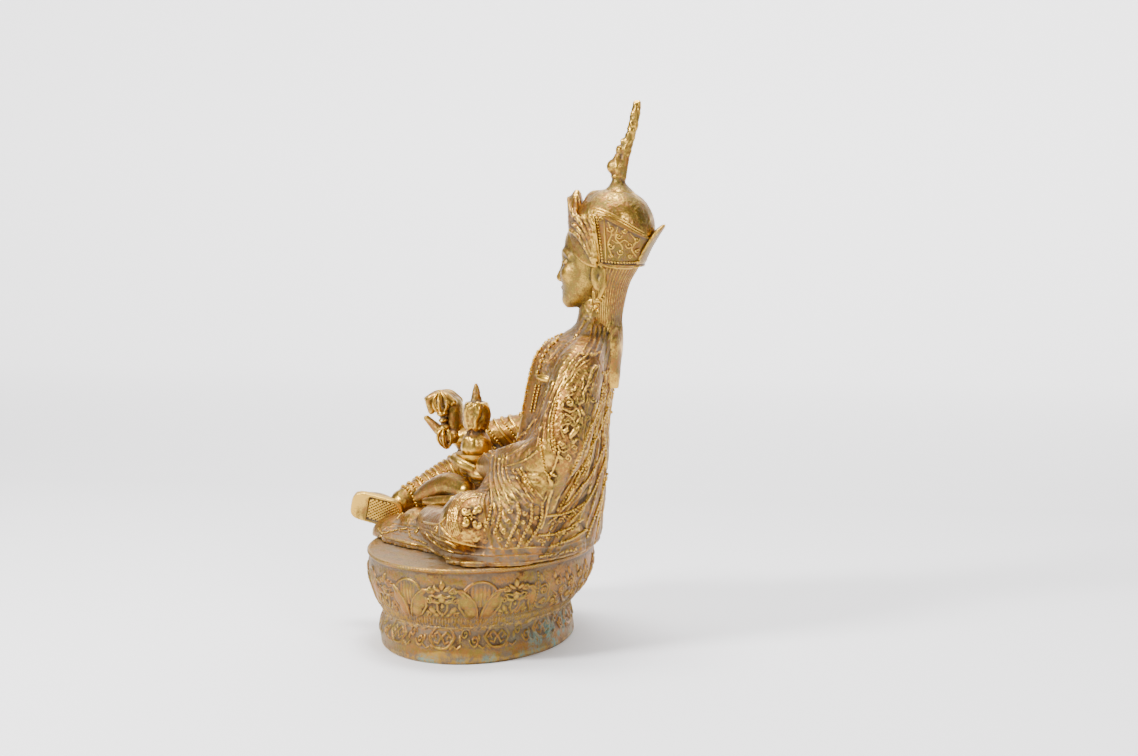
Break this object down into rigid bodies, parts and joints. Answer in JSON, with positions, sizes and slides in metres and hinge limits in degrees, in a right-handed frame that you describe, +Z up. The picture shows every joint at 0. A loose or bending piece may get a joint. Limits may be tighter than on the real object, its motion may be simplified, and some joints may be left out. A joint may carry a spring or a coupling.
{
  "type": "seated lotus teacher statue on a lotus plinth",
  "caption": "Cast brass figure of a seated lotus teacher with lotus hat, thunderbolt, skull bowl and vase, on an oval lotus plinth.",
  "frame": {"origin": "middle of the plinth's flat underside", "axes": "+Z up, the figure faces -Y, its left hand side is +X"},
  "size_m": [0.17, 0.1869, 0.3],
  "materials": {
    "figure_brass": "cast brass, polished on its high places, with brown and grey dirt in the hollows",
    "plinth_brass": "cast brass, worn, with grey dirt and green verdigris low at the back"
  },
  "bodies": {
    "root": {"figure": "figure_brass", "plinth": "plinth_brass"}
  },
  "joints": []
}
